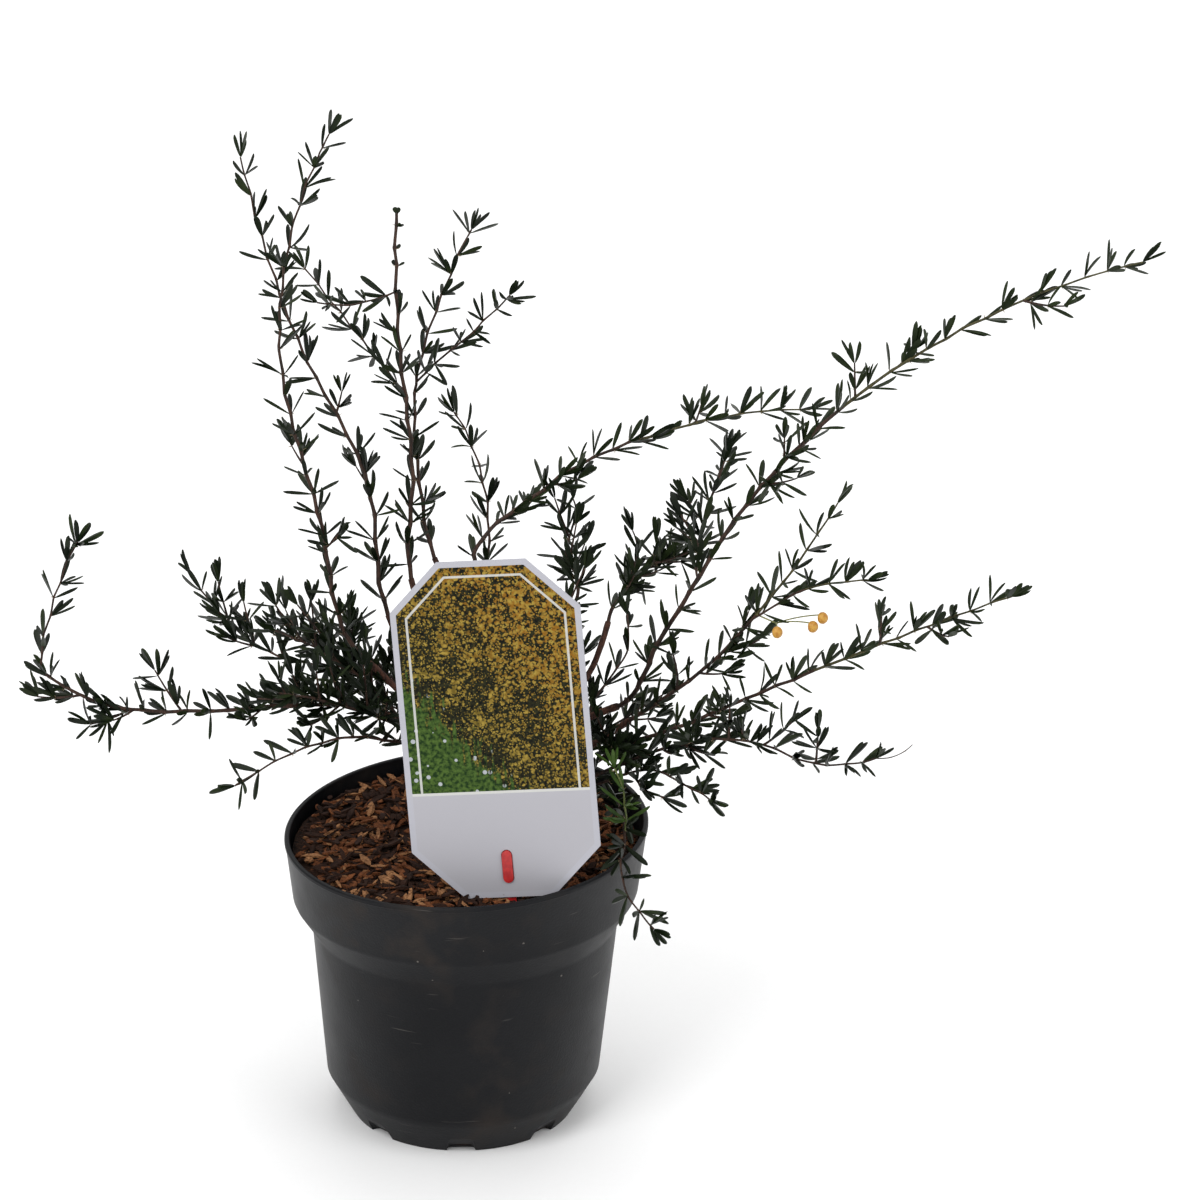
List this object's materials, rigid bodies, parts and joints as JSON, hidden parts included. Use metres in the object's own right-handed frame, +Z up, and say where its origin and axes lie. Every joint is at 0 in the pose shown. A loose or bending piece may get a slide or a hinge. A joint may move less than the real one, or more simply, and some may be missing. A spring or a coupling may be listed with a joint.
{
  "type": "potted rosemary barberry",
  "caption": "Potted evergreen shrub with long arching shoots of narrow leaves, in a round nursery pot with a label card.",
  "frame": {"origin": "centre of the pot's flat underside", "axes": "+Z up, -Y towards the front, where the label card leans; +X to the right as seen from the front"},
  "size_m": [0.5934, 0.3262, 0.5593],
  "materials": {
    "pot": "charcoal plastic, slightly dusty",
    "mulch": "shredded bark, dry",
    "bark": "reddish brown bark, rough",
    "foliage": "dark green narrow leaves, half gloss",
    "card": "printed card, satin",
    "peg": "red plastic, satin"
  },
  "bodies": {
    "root": {"bough_back": "bark", "bough_centre": "bark", "bough_centre_left": "bark", "bough_centre_right": "bark", "bough_cluster": "bark", "bough_left": "bark", "bough_low": "bark", "bough_right_high": "bark", "bough_right_low": "bark", "bough_right_mid": "bark", "bough_tall_back": "bark", "bough_tall_front": "bark", "bough_upright": "bark", "foliage_arch_back": "foliage", "foliage_back": "foliage", "foliage_back_left": "foliage", "foliage_back_right": "foliage", "foliage_card_edge": "foliage", "foliage_centre": "foliage", "foliage_centre_left": "foliage", "foliage_cluster": "foliage", "foliage_droop_right": "foliage", "foliage_inner_left_back": "foliage", "foliage_inner_left_front": "foliage", "foliage_inner_left_top": "foliage", "foliage_inner_right_back": "foliage", "foliage_inner_right_front": "foliage", "foliage_long_left": "foliage", "foliage_long_right": "foliage", "foliage_low_left": "foliage", "foliage_low_right": "foliage", "foliage_mid_left": "foliage", "foliage_reed": "foliage", "foliage_rim": "foliage", "foliage_rising_right": "foliage", "foliage_short_back": "foliage", "foliage_spread_right": "foliage", "foliage_tall_back": "foliage", "foliage_tall_front": "foliage", "foliage_upright": "foliage", "foliage_upright_side": "foliage", "label_card": "card", "label_peg": "peg", "pot": "pot", "soil": "mulch", "stool": "bark"}
  },
  "joints": []
}
